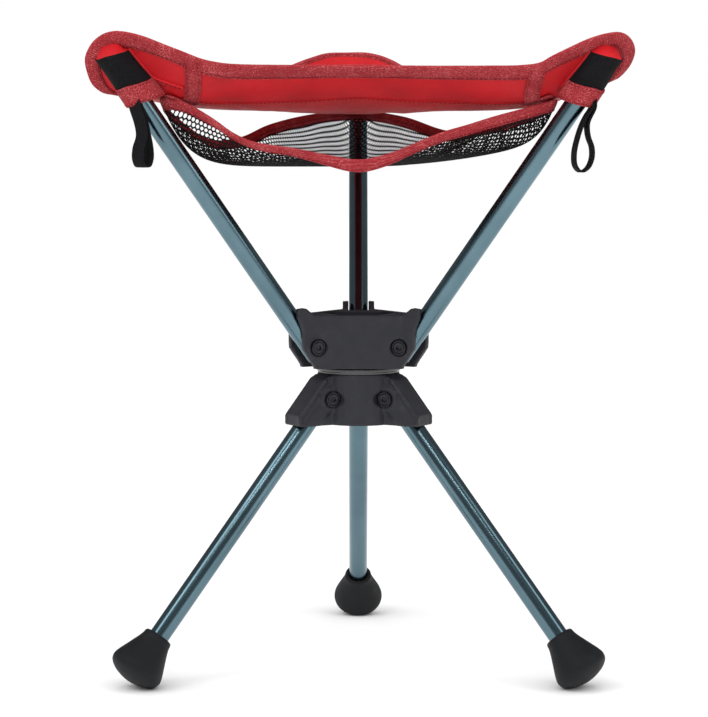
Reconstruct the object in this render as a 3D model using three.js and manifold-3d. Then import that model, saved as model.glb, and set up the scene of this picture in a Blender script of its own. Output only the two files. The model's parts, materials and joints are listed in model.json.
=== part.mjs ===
// Swivel camp stool, in millimetres, +Z up.
// Three splayed legs hinge in a lower hub. Three arms hinge in an upper hub, which swivels on the lower
// one. A red fabric sling is carried by the three arm tips, with a mesh basket hung underneath it.
// The part's origin is on the floor, under the middle of its bounding box. The swivel axis is at y = AXIS_Y.
import * as THREE from "three";
import { mergeVertices } from "three/addons/utils/BufferGeometryUtils.js";
import Module from "manifold-3d";

const wasm = await Module();
wasm.setup();

// ---------------------------------------------------------------- driving dimensions
const AXIS_Y = -49.2; // the swivel axis, from the middle of the bounding box
const GAP = 0.3; // between pieces that touch
const RUN = 0.4; // between pieces that move on each other

const TUBE_R = 7.25;
const TUBE_WALL = 1;

const LEG_ANGLE = 39.5; // from the vertical, in degrees
const LEG_PIN_R = 29.4; // from the swivel axis
const LEG_PIN_Z = 198.9;
const LEG_STUB = 9; // tube beyond the pivot pin

const ARM_ANGLE = 37.1;
const ARM_PIN_R = 41.5;
const ARM_PIN_Z = 237.3;
const ARM_STUB = 9;
const ARM_LENGTH = 260; // from the pivot pin to the end of the tip cap

const SLOT_HALF = TUBE_R + RUN; // half the width of a leg's or an arm's slot
const LUG_HALF = 12; // from the slot's middle plane to a lug's outer face

const LOWER_HUB_BOTTOM = 179.8;
const LOWER_HUB_TOP = 217;
const SWIVEL_PLATE = 3.8; // thickness of the bearing plate between the hubs
const UPPER_HUB_BOTTOM = LOWER_HUB_TOP + SWIVEL_PLATE + 2 * RUN;
const UPPER_HUB_WALL_TOP = 261;
const UPPER_HUB_EAR_TOP = 266;
const NECK_R = 31;

const CORNERS = [
  { name: "front_left", azimuth: 210, twist: 40, loopTurn: 60 },
  { name: "front_right", azimuth: 330, twist: -32, loopTurn: 30 },
  { name: "rear", azimuth: 90, twist: 4, loopTurn: 0 },
]; // twist turns a pocket about its arm, and loopTurn a pull loop about the vertical

const COLOURS = {
  frame: { color: 0x2c5566, metalness: 0.75, roughness: 0.32 },
  plastic: { color: 0x26262a, metalness: 0, roughness: 0.55 },
  rubber: { color: 0x1b1b1d, metalness: 0, roughness: 0.75 },
  steel: { color: 0x8c8f94, metalness: 1, roughness: 0.35 },
  blackSteel: { color: 0x202024, metalness: 0.6, roughness: 0.45 },
  nylon: { color: 0x3a3a3e, metalness: 0, roughness: 0.4 },
  red: { color: 0xc0202a, metalness: 0, roughness: 0.8 },
  binding: { color: 0xb5343c, metalness: 0, roughness: 0.95 },
  blackFabric: { color: 0x242424, metalness: 0, roughness: 0.9 },
  mesh: { color: 0x1c1c1e, metalness: 0, roughness: 0.9 },
};

// ---------------------------------------------------------------- solids
const rad = THREE.MathUtils.degToRad;
const Z = new THREE.Vector3(0, 0, 1);

// A three.js geometry as a manifold-3d solid, turned right side out if it is inside out.
function solid(geometry) {
  const bare = geometry.clone();
  bare.deleteAttribute("normal");
  bare.deleteAttribute("uv");
  const merged = mergeVertices(bare, 1e-4);
  const triVerts = new Uint32Array(merged.index.array);
  const make = () =>
    new wasm.Manifold(
      new wasm.Mesh({ numProp: 3, vertProperties: merged.attributes.position.array, triVerts }),
    );
  const made = make();
  if (made.volume() >= 0) return made;
  for (let i = 0; i < triVerts.length; i += 3)
    [triVerts[i + 1], triVerts[i + 2]] = [triVerts[i + 2], triVerts[i + 1]];
  return make();
}

function geometryOf(manifold) {
  const mesh = manifold.getMesh();
  const position = new Float32Array(mesh.numVert * 3);
  for (let i = 0; i < mesh.numVert; i++)
    position.set(mesh.vertProperties.subarray(i * mesh.numProp, i * mesh.numProp + 3), i * 3);
  const geometry = new THREE.BufferGeometry();
  geometry.setAttribute("position", new THREE.BufferAttribute(position, 3));
  geometry.setIndex(new THREE.BufferAttribute(new Uint32Array(mesh.triVerts), 1));
  geometry.computeVertexNormals();
  return geometry;
}

// A closed [radius, height] profile turned about Z.
function turned(profile, segments = 18) {
  const points = profile.map(([r, z]) => new THREE.Vector2(r, z));
  return solid(new THREE.LatheGeometry(points, segments).rotateX(Math.PI / 2));
}

function rod(radius, z0, z1, segments = 18) {
  return turned([[0, z0], [radius, z0], [radius, z1], [0, z1]], segments);
}

function pipe(inner, outer, z0, z1, segments = 18) {
  return turned([[inner, z0], [outer, z0], [outer, z1], [inner, z1], [inner, z0]], segments);
}

// A rod lying along Y, for what crosses a slot.
function crossRod(radius, y0, y1, segments = 12) {
  return moved(rod(radius, y0, y1, segments), new THREE.Matrix4().makeRotationX(-Math.PI / 2));
}

function box(x0, x1, y0, y1, z0, z1) {
  const made = new THREE.BoxGeometry(x1 - x0, y1 - y0, z1 - z0);
  return solid(made.translate((x0 + x1) / 2, (y0 + y1) / 2, (z0 + z1) / 2));
}

// An [x, z] outline, extruded along Y from -half to half.
function slab(outline, half) {
  const shape = new THREE.Shape(outline.map(([x, z]) => new THREE.Vector2(x, z)));
  const made = new THREE.ExtrudeGeometry(shape, { depth: 2 * half, bevelEnabled: false });
  return solid(made.translate(0, 0, -half).rotateX(Math.PI / 2));
}

// An [x, y] outline, extruded along Z.
function prism(outline, z0, z1) {
  const shape = new THREE.Shape(outline.map(([x, y]) => new THREE.Vector2(x, y)));
  const made = new THREE.ExtrudeGeometry(shape, { depth: z1 - z0, bevelEnabled: false });
  return solid(made.translate(0, 0, z0));
}

function moved(manifold, matrix) {
  return manifold.transform(matrix.elements);
}

const spun = (manifold, degrees) => moved(manifold, new THREE.Matrix4().makeRotationZ(rad(degrees)));
const union = (parts) => parts.reduce((a, b) => a.add(b));
const atAzimuths = (manifold) => union(CORNERS.map((c) => spun(manifold, c.azimuth)));

// A strip or band: rings of points, each ring the section at one step of a path.
function sweep(rings, closed) {
  const steps = rings.length;
  const sides = rings[0].length;
  const position = rings.flat().flatMap((p) => [p.x, p.y, p.z]);
  const index = [];
  const last = closed ? steps : steps - 1;
  for (let i = 0; i < last; i++)
    for (let k = 0; k < sides; k++) {
      const a = i * sides + k;
      const b = i * sides + ((k + 1) % sides);
      const c = ((i + 1) % steps) * sides + k;
      const d = ((i + 1) % steps) * sides + ((k + 1) % sides);
      index.push(a, c, b, b, c, d);
    }
  if (!closed)
    for (let k = 1; k < sides - 1; k++) {
      const end = (steps - 1) * sides;
      index.push(0, k, k + 1, end, end + k + 1, end + k);
    }
  const geometry = new THREE.BufferGeometry();
  geometry.setAttribute("position", new THREE.Float32BufferAttribute(position, 3));
  geometry.setIndex(index);
  return solid(geometry);
}

const materials = Object.fromEntries(
  Object.entries(COLOURS).map(([name, look]) => [name, new THREE.MeshStandardMaterial(look)]),
);

function add(parent, name, manifold, material) {
  const mesh = new THREE.Mesh(geometryOf(manifold), materials[material]);
  mesh.name = name;
  parent.add(mesh);
  return mesh;
}

// ---------------------------------------------------------------- frames
const stool = new THREE.Group();
const axis = new THREE.Group();
axis.position.y = AXIS_Y;
stool.add(axis);

// Local +Z runs from the pivot pin up along the arm, and local -Z down along the leg.
function hingeFrame(azimuth, pinR, pinZ, lean) {
  const radial = new THREE.Group();
  radial.rotation.z = rad(azimuth);
  const hinge = new THREE.Group();
  hinge.position.set(pinR, 0, pinZ);
  hinge.rotation.y = rad(lean);
  radial.add(hinge);
  axis.add(radial);
  return { radial, hinge };
}

const shift = (x, z) => new THREE.Matrix4().makeTranslation(x, 0, z);
const leanBy = (degrees) => new THREE.Matrix4().makeRotationY(rad(degrees));
const legMatrix = shift(LEG_PIN_R, LEG_PIN_Z).multiply(leanBy(-LEG_ANGLE));
const armMatrix = shift(ARM_PIN_R, ARM_PIN_Z).multiply(leanBy(ARM_ANGLE));

// ---------------------------------------------------------------- pivot bolts
const BOLT_HEAD_R = 5.6;
const BOLT_HEAD = 2.4;
const BARREL_R = 3;
const THREAD_R = 1.9;
const SOCKET_R = 1.9;
const SOCKET_DEPTH = 1.5;
const HEAD_SEAT = LUG_HALF + GAP / 2;

const HEAD_TOP = HEAD_SEAT + BOLT_HEAD;
const SOCKET_FLOOR = HEAD_TOP - SOCKET_DEPTH;

// The screw's head is on the +Y side, and the barrel nut's on the -Y side.
function pivotScrew() {
  const head = crossRod(BOLT_HEAD_R, HEAD_SEAT, HEAD_TOP);
  const shank = crossRod(THREAD_R, 1, HEAD_SEAT + 0.5, 8);
  const socket = crossRod(SOCKET_R, SOCKET_FLOOR, HEAD_TOP + 1, 6);
  return head.add(shank).subtract(socket);
}

function barrelNut() {
  const head = crossRod(BOLT_HEAD_R, -HEAD_TOP, -HEAD_SEAT);
  const barrel = crossRod(BARREL_R, -HEAD_SEAT - 0.5, LUG_HALF - 0.8);
  const bore = crossRod(THREAD_R + GAP, -2, LUG_HALF + 1, 8);
  const socket = crossRod(SOCKET_R, -HEAD_TOP - 1, -SOCKET_FLOOR, 6);
  return head.add(barrel).subtract(bore).subtract(socket);
}

// What a bolt takes out of a hub: its hole, and a recess from each lug's outer face outwards.
const BEYOND = 40; // further out than any hub reaches
const pinHole = crossRod(BARREL_R + GAP, -BEYOND, BEYOND);
const screwRecess = crossRod(BOLT_HEAD_R + 0.7, LUG_HALF, BEYOND, 16);
const nutRecess = crossRod(BOLT_HEAD_R + 0.7, -BEYOND, -LUG_HALF, 16);
const boltCut = pinHole.add(screwRecess).add(nutRecess);

// ---------------------------------------------------------------- lower hub
const SPINDLE_R = 5;
const SPINDLE_HEAD_R = 9;

function lowerHub() {
  const fin = slab(
    [
      [0, LOWER_HUB_BOTTOM], [55.6, LOWER_HUB_BOTTOM], [55.6, 188.4], [35.5, 213],
      [NECK_R, LOWER_HUB_TOP - 1], [0, LOWER_HUB_TOP - 1],
    ],
    LUG_HALF - 1.4,
  );
  // The fin's side bulges over the leg, in line with it.
  const bulge = moved(rod(LUG_HALF + 0.4, -60, 14), legMatrix).intersect(
    box(0, 55.6, -30, 30, LOWER_HUB_BOTTOM, 212),
  );
  const boss = moved(crossRod(9.5, -LUG_HALF, LUG_HALF), shift(LEG_PIN_R, LEG_PIN_Z));
  const core = rod(NECK_R - 0.6, LOWER_HUB_BOTTOM, LOWER_HUB_TOP, 36);
  const body = core.add(atAzimuths(union([fin, bulge, boss])));

  // A leg swings in this slot from its splay, where the outer wall stops it, to straight down.
  const tan = Math.tan(rad(LEG_ANGLE));
  const side = (TUBE_R + RUN) / Math.cos(rad(LEG_ANGLE));
  const outerR = (z) => LEG_PIN_R + (LEG_PIN_Z - z) * tan + side;
  const inner = LEG_PIN_R - TUBE_R - RUN;
  const swing = slab(
    [
      [inner, 170], [outerR(170), 170], [outerR(LEG_PIN_Z), LEG_PIN_Z],
      [LEG_PIN_R, LEG_PIN_Z + 4], [inner, LEG_PIN_Z],
    ],
    SLOT_HALF,
  );
  const stubR = Math.hypot(LEG_STUB, TUBE_R) + RUN;
  const knuckle = moved(
    crossRod(stubR, -SLOT_HALF, SLOT_HALF, 20),
    shift(LEG_PIN_R, LEG_PIN_Z),
  );
  const bolt = moved(boltCut, shift(LEG_PIN_R, LEG_PIN_Z));
  const bore = rod(SPINDLE_R + GAP, 170, 230);
  const headPocket = rod(SPINDLE_HEAD_R + 0.5, 170, LOWER_HUB_BOTTOM + 5.5, 6);
  return body
    .subtract(atAzimuths(union([swing, knuckle, bolt])))
    .subtract(bore)
    .subtract(headPocket);
}

add(axis, "lower_hub", lowerHub(), "plastic");

// ---------------------------------------------------------------- swivel
const NUT_Z = 243;
const spindle = union([
  rod(SPINDLE_R, LOWER_HUB_BOTTOM + 5, NUT_Z + 8.5),
  rod(SPINDLE_HEAD_R, LOWER_HUB_BOTTOM + 0.5, LOWER_HUB_BOTTOM + 5.2, 6),
]);
add(axis, "swivel_spindle", spindle, "steel");
const plateBottom = LOWER_HUB_TOP + GAP;
const plate = pipe(SPINDLE_R + GAP, NECK_R, plateBottom, plateBottom + SWIVEL_PLATE, 36);
add(axis, "swivel_plate", plate, "nylon");
add(axis, "thrust_washer", pipe(SPINDLE_R + GAP, 12, NUT_Z - 1.5, NUT_Z - GAP), "steel");
const nutBore = rod(SPINDLE_R + GAP, NUT_Z - 1, NUT_Z + 8);
add(axis, "lock_nut", rod(8.5, NUT_Z, NUT_Z + 7, 6).subtract(nutBore), "steel");

// ---------------------------------------------------------------- upper hub
const FACE_APOTHEM = 32; // from the axis to the flat outer faces between the arms
const CUP_APOTHEM = 28.5; // to their inner faces
const WEB_R = 26.3; // from the axis to the inner face of the web behind a slot
const SLOT_R = 29.3; // to the web's outer face
const CUP_FLOOR = 229.5;
const BUSH_R = 8;
const BOSS_TOP = NUT_Z - 1.9;

// The point of a flat face that is at distance apothem, as [x, y] beside an arm's plane at offset w.
function besideArm(azimuth, w, apothem) {
  const r = (apothem - Math.abs(w) * Math.sin(Math.PI / 3)) / Math.cos(Math.PI / 3);
  return onPlane(azimuth, r, w);
}

function onPlane(azimuth, r, w) {
  const a = rad(azimuth);
  return [r * Math.cos(a) - w * Math.sin(a), r * Math.sin(a) + w * Math.cos(a)];
}

function upperHub() {
  const lug = slab(
    [
      [0, UPPER_HUB_BOTTOM], [42, UPPER_HUB_BOTTOM], [48, 230], [52.3, 236], [52.8, 240], [52.8, 251],
      [57.6, UPPER_HUB_EAR_TOP - 1.5], [56.6, UPPER_HUB_EAR_TOP], [50, UPPER_HUB_EAR_TOP], [45.5, 262.4],
      [43.5, UPPER_HUB_WALL_TOP], [0, UPPER_HUB_WALL_TOP],
    ],
    LUG_HALF,
  );
  const order = [90, 210, 330];
  const outer = order.flatMap((a) => [-LUG_HALF, LUG_HALF].map((w) => besideArm(a, w, FACE_APOTHEM)));
  const body = prism(outer, UPPER_HUB_BOTTOM, UPPER_HUB_WALL_TOP).add(atAzimuths(lug));

  const cupHalf = (CUP_APOTHEM - WEB_R * Math.cos(Math.PI / 3)) / Math.sin(Math.PI / 3);
  const inner = order.flatMap((a) => [onPlane(a, WEB_R, -cupHalf), onPlane(a, WEB_R, cupHalf)]);
  const cup = prism(inner, CUP_FLOOR, 280);
  const boss = rod(12.5, UPPER_HUB_BOTTOM, BOSS_TOP, 20);
  const slot = box(SLOT_R, 80, -SLOT_HALF, SLOT_HALF, 200, 290);
  const bolt = moved(boltCut, shift(ARM_PIN_R, ARM_PIN_Z));
  const bore = rod(BUSH_R + GAP, 200, 290);
  return body.subtract(cup).add(boss).subtract(atAzimuths(slot.add(bolt))).subtract(bore);
}

add(axis, "upper_hub", upperHub(), "plastic");
add(axis, "swivel_bush", pipe(SPINDLE_R + RUN, BUSH_R, UPPER_HUB_BOTTOM + 0.2, BOSS_TOP - 0.1), "nylon");

// ---------------------------------------------------------------- legs
const FOOT_TOP = 211.5; // along the leg, from the pin to the foot's collar
const FOOT_DEPTH = 23; // how far the tube goes into the foot
// [distance down from the collar, radius]: a collar, a straight flare and a shallow domed sole.
const FOOT_PROFILE = [
  [0, 9.6], [0.8, 10.4], [4, 11], [11, 13.5], [18, 16.4], [24, 18.8],
  [28, 19.6], [31.5, 18.7], [34, 16.2], [36, 12.5], [37.8, 7], [38.5, 0],
];

function crossHoled(manifold) {
  return manifold.subtract(crossRod(BARREL_R + GAP, -20, 20, 10));
}

function tube(z0, z1) {
  return crossHoled(pipe(TUBE_R - TUBE_WALL, TUBE_R, z0, z1));
}

// The nylon plug that keeps a tube round where the pivot bolt crosses it.
function endPlug(z0, z1) {
  return crossHoled(rod(TUBE_R - TUBE_WALL - GAP, z0, z1, 12));
}

function foot() {
  const socketEnd = -FOOT_TOP - FOOT_DEPTH - GAP;
  const profile = [[0, socketEnd], [TUBE_R + GAP, socketEnd], [TUBE_R + GAP, -FOOT_TOP]];
  for (const [down, r] of FOOT_PROFILE) profile.push([r, -FOOT_TOP - down]);
  const floor = moved(box(0, 400, -60, 60, -80, 0), legMatrix.clone().invert());
  return turned(profile, 20).subtract(floor);
}

for (const { name, azimuth } of CORNERS) {
  const { radial, hinge } = hingeFrame(azimuth, LEG_PIN_R, LEG_PIN_Z, -LEG_ANGLE);
  add(hinge, "leg_tube_" + name, tube(-FOOT_TOP - FOOT_DEPTH, LEG_STUB), "frame");
  add(hinge, "leg_plug_" + name, endPlug(-18, LEG_STUB - 0.5), "nylon");
  add(hinge, "foot_" + name, foot(), "rubber");
  const pin = new THREE.Group();
  pin.position.set(LEG_PIN_R, 0, LEG_PIN_Z);
  radial.add(pin);
  add(pin, "leg_screw_" + name, pivotScrew(), "blackSteel");
  add(pin, "leg_barrel_nut_" + name, barrelNut(), "blackSteel");
}

// ---------------------------------------------------------------- arms
const CAP_R = 8;
const CAP_LENGTH = 20;

function tipCap() {
  const skirt = ARM_LENGTH - CAP_LENGTH;
  const roof = ARM_LENGTH - 3;
  return turned([
    [TUBE_R + GAP, skirt], [CAP_R, skirt], [CAP_R, ARM_LENGTH - 4], [CAP_R - 1.2, ARM_LENGTH - 1.2],
    [CAP_R - 4, ARM_LENGTH], [0, ARM_LENGTH], [0, roof], [TUBE_R + GAP, roof], [TUBE_R + GAP, skirt],
  ]);
}

for (const { name, azimuth } of CORNERS) {
  const { radial, hinge } = hingeFrame(azimuth, ARM_PIN_R, ARM_PIN_Z, ARM_ANGLE);
  add(hinge, "arm_tube_" + name, tube(-ARM_STUB, ARM_LENGTH - 3 - GAP), "frame");
  add(hinge, "arm_plug_" + name, endPlug(-ARM_STUB + 0.5, 18), "nylon");
  add(hinge, "arm_cap_" + name, tipCap(), "plastic");
  const pin = new THREE.Group();
  pin.position.set(ARM_PIN_R, 0, ARM_PIN_Z);
  radial.add(pin);
  add(pin, "arm_screw_" + name, pivotScrew(), "blackSteel");
  add(pin, "arm_barrel_nut_" + name, barrelNut(), "blackSteel");
}

// ---------------------------------------------------------------- the sling and the basket
const FABRIC = 1.4;
const NETTING = 1;
const SLING_BOTTOM = 408.5;
const BASKET_BOTTOM = 368;

// The sling's cut edge and the basket's, as [x, y, z] from the swivel axis, counter-clockwise from the
// middle of the front. The front edge is the tight one, so the front corners lean towards it.
const SLING_EDGE = [
  [0, -95, 436.5], [85, -99, 436.5], [118, -103, 438.5], [144, -106, 450], [169, -100, 459.4],
  [186, -89, 458.5], [191.5, -77, 448], [185, -60, 435], [152, -20, 431], [95, 54, 433],
  [58, 110, 437], [37, 155, 446.5], [17, 185, 456.5], [-7, 197.5, 460], [-31, 186, 456.5],
  [-55, 155, 446.5], [-72, 105, 436.5], [-99, 50, 432], [-140, -10, 427], [-178, -66, 422.5],
  [-189, -83, 437], [-186, -89, 453], [-168, -97, 460], [-142, -104.5, 454.5], [-111, -104, 442],
  [-82, -99, 438.5],
];
const BASKET_EDGE = [
  [0, -86, 374], [20, -86.5, 377.5], [38, -87, 384], [57, -87, 391], [76, -87, 397], [97, -86, 403],
  [131, -75.6, 412], [104, -18, 398], [70, 40, 394], [35, 100, 406], [0, 152, 412], [-35, 100, 408],
  [-67, 44, 399], [-88, 10, 390], [-108, -24, 388], [-122, -56, 396], [-131, -75.6, 411.5],
  [-117, -82, 409], [-102, -85, 401], [-88, -87, 391.5], [-74, -88, 386], [-47, -88, 381], [-22, -87, 377],
];
// How steeply the basket's wall stands, as [azimuth, power], all round.
const BASKET_POWERS = [
  [-90, 2.5], [-60, 1.8], [-30, 3], [0, 3], [30, 6], [90, 7],
  [150, 6], [190, 5], [210, 5], [240, 3], [270, 2.5],
];

const curve3 = (points, closed) =>
  new THREE.CatmullRomCurve3(points.map((p) => new THREE.Vector3(...p)), closed, "centripetal");

// How close an azimuth is to an arm's: 1 on it, falling to 0 between two arms.
function armCloseness(x, y) {
  const azimuth = THREE.MathUtils.radToDeg(Math.atan2(y, x));
  const turn = (c) => THREE.MathUtils.euclideanModulo(azimuth - c.azimuth + 180, 360) - 180;
  const away = Math.min(...CORNERS.map((c) => Math.abs(turn(c))));
  return Math.exp(-((away / 15) ** 2));
}

const slingPower = (x, y) => 3.2 + 2.8 * armCloseness(x, y);

function basketPower(x, y) {
  const azimuth = THREE.MathUtils.euclideanModulo(THREE.MathUtils.radToDeg(Math.atan2(y, x)) + 90, 360) - 90;
  const next = BASKET_POWERS.findIndex(([a]) => a > azimuth);
  const [a0, p0] = BASKET_POWERS[next - 1];
  const [a1, p1] = BASKET_POWERS[next];
  return THREE.MathUtils.mapLinear(azimuth, a0, a1, p0, p1);
}

// A closed sheet stretched inside a rim. Along each ray from the middle it rises from the given bottom to
// the rim as a power of the distance, the higher the power the later it rises.
function sheet(rim, bottom, thickness, powerAt, around, steps) {
  const edge = curve3(rim, true).getSpacedPoints(around).slice(0, around);
  const point = (k, t) => {
    const e = edge[(k + around) % around];
    return new THREE.Vector3(e.x * t, e.y * t, bottom + (e.z - bottom) * t ** powerAt(e.x, e.y));
  };
  const normal = (k, t) => {
    const out = point(k, Math.min(t + 0.01, 1)).sub(point(k, t - 0.01));
    const along = point(k + 1, t).sub(point(k - 1, t));
    return out.cross(along).normalize();
  };
  const position = [];
  for (const side of [1, -1]) {
    position.push(0, 0, bottom + (side * thickness) / 2);
    for (const t of steps)
      for (let k = 0; k < around; k++) {
        const p = point(k, t).addScaledVector(normal(k, t), (side * thickness) / 2);
        position.push(p.x, p.y, p.z);
      }
  }
  const layer = 1 + steps.length * around;
  const at = (side, ring, k) => side * layer + 1 + ring * around + (k % around);
  const index = [];
  const triangle = (side, a, b, c) => index.push(a, ...(side ? [c, b] : [b, c]));
  for (const side of [0, 1])
    for (let k = 0; k < around; k++) {
      triangle(side, side * layer, at(side, 0, k), at(side, 0, k + 1));
      for (let i = 0; i + 1 < steps.length; i++) {
        triangle(side, at(side, i, k), at(side, i + 1, k), at(side, i + 1, k + 1));
        triangle(side, at(side, i, k), at(side, i + 1, k + 1), at(side, i, k + 1));
      }
    }
  const last = steps.length - 1;
  for (let k = 0; k < around; k++) {
    index.push(at(0, last, k), at(1, last, k), at(1, last, k + 1));
    index.push(at(0, last, k), at(1, last, k + 1), at(0, last, k + 1));
  }
  const geometry = new THREE.BufferGeometry();
  geometry.setAttribute("position", new THREE.Float32BufferAttribute(position, 3));
  geometry.setIndex(index);
  return solid(geometry);
}

const SLING_STEPS = [0.25, 0.5, 0.66, 0.78, 0.87, 0.94, 1];
const BASKET_STEPS = [0.3, 0.55, 0.72, 0.84, 0.93, 1];
add(axis, "seat_sling", sheet(SLING_EDGE, SLING_BOTTOM, FABRIC, slingPower, 66, SLING_STEPS), "red");
add(axis, "mesh_basket", sheet(BASKET_EDGE, BASKET_BOTTOM, NETTING, basketPower, 54, BASKET_STEPS), "mesh");

// ---------------------------------------------------------------- pockets, tabs and loops at the corners
const POCKET_INNER = CAP_R + 0.9;
const POCKET_OUTER = POCKET_INNER + 1.2;
const BINDING_OUTER = POCKET_OUTER + 0.8;
const POCKET_MOUTH = 226; // along the arm, from the pivot pin
const POCKET_SEAM = 237;
const POCKET_END = ARM_LENGTH + 1.5;

const POCKET_WALL = 1.5; // how far a channel's walls run past the arm's axis, towards the sling

// A channel round the arm's outer side: half a pipe with straight walls, open towards the sling.
function channel(outer, z0, z1) {
  const walls = box(-POCKET_WALL, 0, -outer, outer, z0, z1);
  const round = rod(outer, z0, z1, 24).intersect(box(-1, 40, -40, 40, z0, z1));
  const bore = rod(POCKET_INNER, z0 - 1, z1 + 1, 24);
  const gate = box(-40, 0, -POCKET_INNER, POCKET_INNER, z0 - 1, z1 + 1);
  return walls.add(round).subtract(bore).subtract(gate);
}

function pocket() {
  const lid = rod(POCKET_OUTER, POCKET_END - 0.1, POCKET_END + 1.1, 24);
  const end = lid.intersect(box(-POCKET_WALL, 40, -40, 40, 0, 300));
  return channel(POCKET_OUTER, POCKET_SEAM + GAP, POCKET_END).add(end);
}

const WEBBING = 10.5;
const WEBBING_THICKNESS = 1.2;
const LOOP_PROUD = 2.2; // from the mouth binding to the middle of the loop's top
const LOOP_STEPS = 18;
// The loop's middle line, as [sideways, up] from its top.
const LOOP = [
  [1, 0], [3.2, -10], [6, -21], [6.9, -30], [5, -38.5], [0, -42],
  [-5, -38.5], [-6.9, -30], [-6, -21], [-3.2, -10], [-1, 0],
];

// A webbing loop hanging from top; turn is the azimuth its opening spreads along.
function pullLoop(top, turn) {
  const spread = new THREE.Vector3(Math.cos(rad(turn)), Math.sin(rad(turn)), 0);
  const across = new THREE.Vector3(-spread.y, spread.x, 0);
  const path = curve3(LOOP.map(([u, z]) => [u, 0, z]), false);
  const rings = [];
  for (let i = 0; i <= LOOP_STEPS; i++) {
    const p = path.getPointAt(i / LOOP_STEPS);
    const t = path.getTangentAt(i / LOOP_STEPS);
    const centre = top.clone().addScaledVector(spread, p.x).addScaledVector(Z, p.z);
    const thick = spread.clone().multiplyScalar(-t.z).addScaledVector(Z, t.x);
    thick.setLength(WEBBING_THICKNESS / 2);
    const wide = across.clone().multiplyScalar(WEBBING / 2);
    rings.push([
      centre.clone().add(thick).add(wide),
      centre.clone().sub(thick).add(wide),
      centre.clone().sub(thick).sub(wide),
      centre.clone().add(thick).sub(wide),
    ]);
  }
  return sweep(rings, false);
}

for (const { name, azimuth, twist, loopTurn } of CORNERS) {
  const { radial, hinge } = hingeFrame(azimuth, ARM_PIN_R, ARM_PIN_Z, ARM_ANGLE);
  add(hinge, "corner_pocket_" + name, spun(pocket(), twist), "blackFabric");
  const mouth = channel(BINDING_OUTER, POCKET_MOUTH, POCKET_SEAM);
  add(hinge, "mouth_binding_" + name, spun(mouth, twist), "binding");

  const onArm = new THREE.Vector3(BINDING_OUTER + LOOP_PROUD, 0, POCKET_MOUTH).applyAxisAngle(Z, rad(twist));
  const top = onArm.applyMatrix4(armMatrix).applyAxisAngle(Z, rad(azimuth));
  add(axis, "pull_loop_" + name, pullLoop(top, azimuth + loopTurn), "blackFabric");

  const tab = slab([[153.2, 413.4], [154.8, 413.4], [157.8, 417.4], [156.2, 417.4]], 8);
  add(radial, "basket_tab_" + name, tab, "binding");
}

export default stool;
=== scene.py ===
"""The looks of a swivel camp stool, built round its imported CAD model.

Every length here is in millimetres until a mesh is made, and MM turns it into metres.
"Axis frame" means the row frame shifted so that the swivel axis is at x = 0, y = 0.
"""

import contextlib
import json
import math
import random

import bmesh
import bpy
import numpy as np
from mathutils import Matrix, Vector
from mathutils.bvhtree import BVHTree


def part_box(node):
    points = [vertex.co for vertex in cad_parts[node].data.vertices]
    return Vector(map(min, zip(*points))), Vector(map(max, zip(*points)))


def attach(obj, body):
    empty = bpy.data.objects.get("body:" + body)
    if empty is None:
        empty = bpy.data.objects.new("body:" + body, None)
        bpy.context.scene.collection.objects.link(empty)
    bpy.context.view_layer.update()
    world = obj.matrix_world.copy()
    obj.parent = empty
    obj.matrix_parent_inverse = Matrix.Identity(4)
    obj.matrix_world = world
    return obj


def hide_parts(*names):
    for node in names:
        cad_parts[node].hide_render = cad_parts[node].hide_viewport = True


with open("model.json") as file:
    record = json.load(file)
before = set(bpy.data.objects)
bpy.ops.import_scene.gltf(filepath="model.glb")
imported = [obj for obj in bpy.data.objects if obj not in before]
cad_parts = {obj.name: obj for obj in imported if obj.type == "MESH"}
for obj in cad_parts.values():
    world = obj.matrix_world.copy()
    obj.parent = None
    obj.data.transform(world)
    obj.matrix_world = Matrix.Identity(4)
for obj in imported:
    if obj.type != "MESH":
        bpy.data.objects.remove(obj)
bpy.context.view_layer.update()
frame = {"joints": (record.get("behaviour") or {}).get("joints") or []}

MM = 0.001
UP = Vector((0, 0, 1))
spindle_low, spindle_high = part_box("swivel_spindle")
AXIS = (spindle_low + spindle_high) / 2
AXIS.z = 0
JOINTS = {joint["name"]: joint for joint in frame["joints"]}


# ---------------------------------------------------------------- frames
def corner_frame(joint_name, downwards):
    """The matrix of an arm's or a leg's own frame, in millimetres from the axis frame's origin.

    Its Z runs along the tube from the pivot pin, its X is the tube's outer side, and its Y is
    along the pin.
    """
    joint = JOINTS[joint_name]
    pin = (Vector(joint["pos_m"]) - AXIS) / MM
    azimuth = math.atan2(pin.y, pin.x)
    lean = math.radians(joint["range_deg"][1])
    if downwards:
        lean = math.pi - lean
    turn = Matrix.Rotation(azimuth, 4, "Z") @ Matrix.Rotation(lean, 4, "Y")
    return Matrix.Translation(pin) @ turn


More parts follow.
